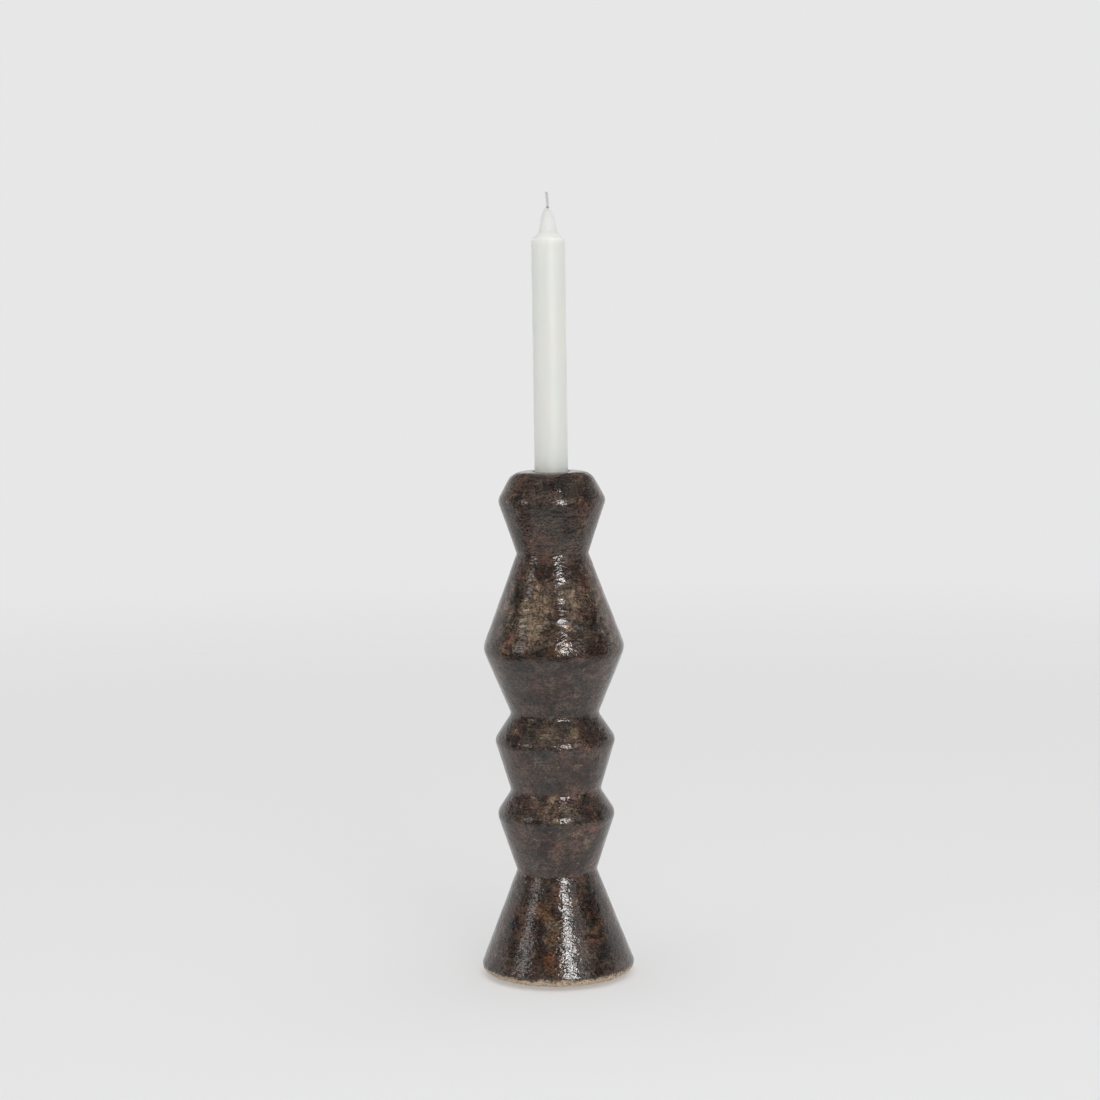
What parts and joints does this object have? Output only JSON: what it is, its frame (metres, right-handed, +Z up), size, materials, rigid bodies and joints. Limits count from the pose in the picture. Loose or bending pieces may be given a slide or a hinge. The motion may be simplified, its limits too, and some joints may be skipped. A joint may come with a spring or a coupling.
{
  "type": "candlestick",
  "caption": "Tall turned wooden candlestick of stacked cones with a flared foot, a steel-lined socket and a straight candle that lifts out.",
  "frame": {"origin": "centre of the felt pad's underside, where the candlestick stands, on the turning axis", "axes": "+Z up along the turning axis, towards the candle's wick; the body is round, so +X and +Y are free"},
  "size_m": [0.1, 0.1, 0.5187],
  "materials": {
    "stained_wood": "dark mottled stain under a clear gloss lacquer",
    "beech": "plain machined beech",
    "dark_steel": "blackened pressed steel",
    "screw_steel": "zinc-plated steel",
    "felt": "black pressed wool felt",
    "wax": "white paraffin wax, satin",
    "cotton": "waxed braided cotton"
  },
  "bodies": {
    "candlestick": {"foot_block": "stained_wood", "lower_ring_block": "stained_wood", "upper_ring_block": "stained_wood", "belly_block": "stained_wood", "head_block": "stained_wood", "foot_dowel": "beech", "ring_dowel": "beech", "belly_dowel": "beech", "neck_dowel": "beech", "candle_cup": "dark_steel", "cup_screw": "screw_steel", "felt_pad": "felt"},
    "candle": {"candle": "wax", "wick": "cotton"}
  },
  "joints": [
    {"name": "candle_lift", "type": "slide", "parent": "candlestick", "child": "candle", "axis": [0, 0, 1], "range_m": [0, 0.04]}
  ]
}
